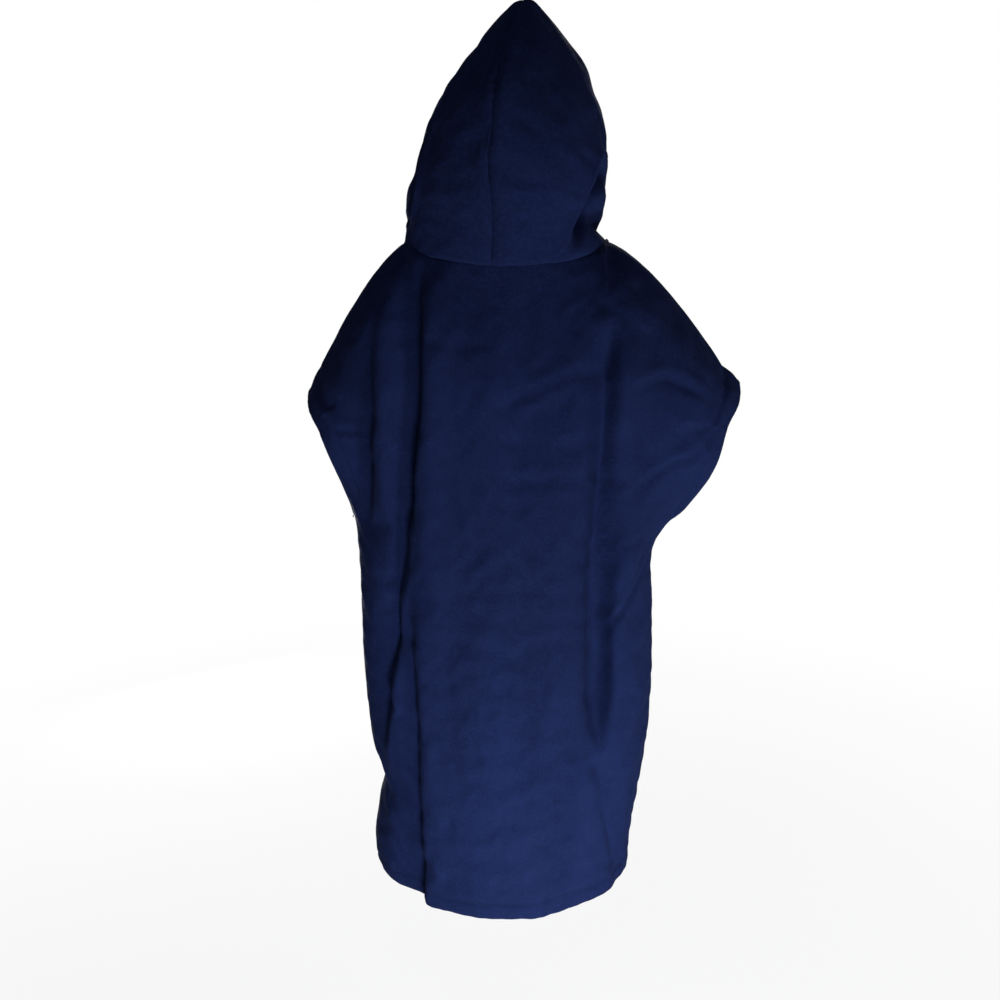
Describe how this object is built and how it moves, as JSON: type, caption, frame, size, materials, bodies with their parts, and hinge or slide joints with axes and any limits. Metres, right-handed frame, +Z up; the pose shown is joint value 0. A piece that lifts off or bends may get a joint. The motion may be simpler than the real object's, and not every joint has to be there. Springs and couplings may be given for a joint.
{
  "type": "hooded poncho",
  "caption": "Hooded fleece poncho with short wide sleeves, shaped as worn, with a hood that tips back, a hanger loop and a blank care label.",
  "frame": {"origin": "middle of the neck, level with where the shoulder seams rest on the wearer's shoulders", "axes": "+Z up, -Y the way the wearer faces, +X the wearer's left"},
  "size_m": [0.716, 0.3307, 1.4814],
  "materials": {
    "fleece": "brushed fleece nap, navy",
    "fleece_inside": "turned and overlocked fleece edges, navy",
    "thread": "twisted polyester sewing thread, navy",
    "tape": "woven cotton tape, dark navy",
    "label": "satin ribbon, blank"
  },
  "bodies": {
    "root": {"back_panel": "fleece", "front_panel": "fleece", "back_hem": "fleece_inside", "front_hem": "fleece_inside", "left_cuff_hem": "fleece_inside", "right_cuff_hem": "fleece_inside", "left_side_seam": "fleece_inside", "right_side_seam": "fleece_inside", "left_shoulder_tape": "tape", "right_shoulder_tape": "tape", "neck_tape": "tape", "back_hem_topstitch": "thread", "front_hem_topstitch": "thread", "left_cuff_topstitch": "thread", "right_cuff_topstitch": "thread", "neck_topstitch": "thread", "left_underarm_bartack": "thread", "right_underarm_bartack": "thread"},
    "hood": {"hood_left_panel": "fleece", "hood_right_panel": "fleece", "hood_face_hem": "fleece_inside", "hood_centre_seam": "fleece_inside", "hood_face_topstitch": "thread"},
    "loop": {"hanger_loop": "tape"},
    "label": {"care_label": "label"}
  },
  "joints": [
    {"name": "hood_back", "type": "hinge", "parent": "root", "child": "hood", "pos_m": [0, 0.101, -0.034], "axis": [-1, 0, 0], "range_deg": [0, 130]},
    {"name": "loop_flip", "type": "hinge", "parent": "root", "child": "loop", "pos_m": [0, 0.0907, -0.048], "axis": [-1, 0, 0], "range_deg": [0, 170]},
    {"name": "label_turn", "type": "hinge", "parent": "root", "child": "label", "pos_m": [0.2275, 0, -0.8208], "axis": [0, 0, 1], "range_deg": [-80, 80]}
  ]
}
